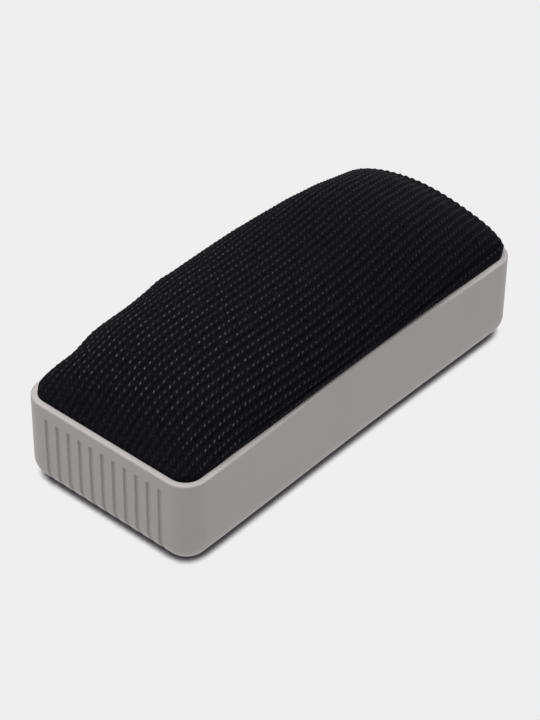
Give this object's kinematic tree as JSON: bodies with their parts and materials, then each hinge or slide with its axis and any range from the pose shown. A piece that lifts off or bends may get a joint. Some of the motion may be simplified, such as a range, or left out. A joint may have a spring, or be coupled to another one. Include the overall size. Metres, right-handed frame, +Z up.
{
  "type": "whiteboard eraser",
  "caption": "Moulded plastic tray with grip grooves in its short ends, holding a crowned foam pad covered in ribbed wiping cloth.",
  "frame": {"origin": "centre of the tray's closed face, on the surface that the eraser stands on", "axes": "+X along the eraser's length, towards the pad's steep end; +Y across it; +Z up, from the closed face through the pad"},
  "size_m": [0.131, 0.057, 0.0447],
  "materials": {
    "tray_plastic": "fine satin, warm light grey",
    "sponge_foam": "open-cell sponge, matt",
    "ribbed_cloth": "black ribbed pile cloth with small slanted stitches"
  },
  "bodies": {
    "root": {"holder": "tray_plastic", "foam_core": "sponge_foam", "wiping_cloth": "ribbed_cloth"}
  },
  "joints": []
}
